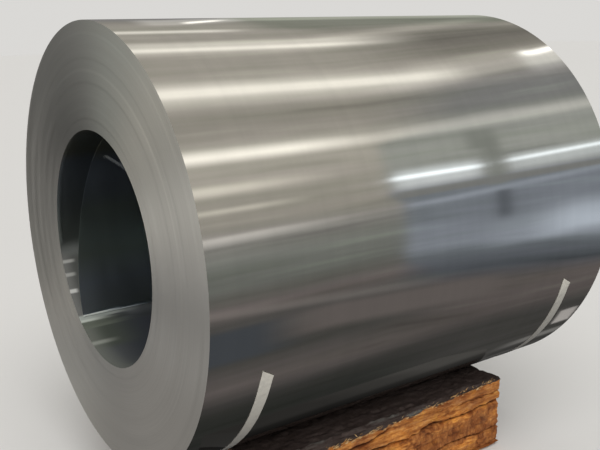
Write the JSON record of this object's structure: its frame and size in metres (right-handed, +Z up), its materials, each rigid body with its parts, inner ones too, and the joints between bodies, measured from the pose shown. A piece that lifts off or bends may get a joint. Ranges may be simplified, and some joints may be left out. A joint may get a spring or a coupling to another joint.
{
  "type": "steel coil",
  "caption": "Wide coil of bright steel strip with an open bore, lying on a pair of timber baulks, its tail held by short tapes.",
  "frame": {"origin": "on the floor under the baulks, midway along the strip's width and midway between the baulks", "axes": "+X along the coil's bore, away from the end face that the picture shows; +Y across the coil, away from the picture's viewer; +Z up"},
  "size_m": [1.1012, 0.9495, 1.0921],
  "materials": {
    "bright_steel": "bright rolled strip, satin with fine lines along the rolling direction",
    "tail_tape": "cream paper tape, matt",
    "rough_timber": "rough hewn, orange brown, split along the grain"
  },
  "bodies": {
    "root": {"coil": "bright_steel", "tail_tape_near": "tail_tape", "tail_tape_far": "tail_tape", "bearer_front": "rough_timber", "bearer_back": "rough_timber"}
  },
  "joints": []
}
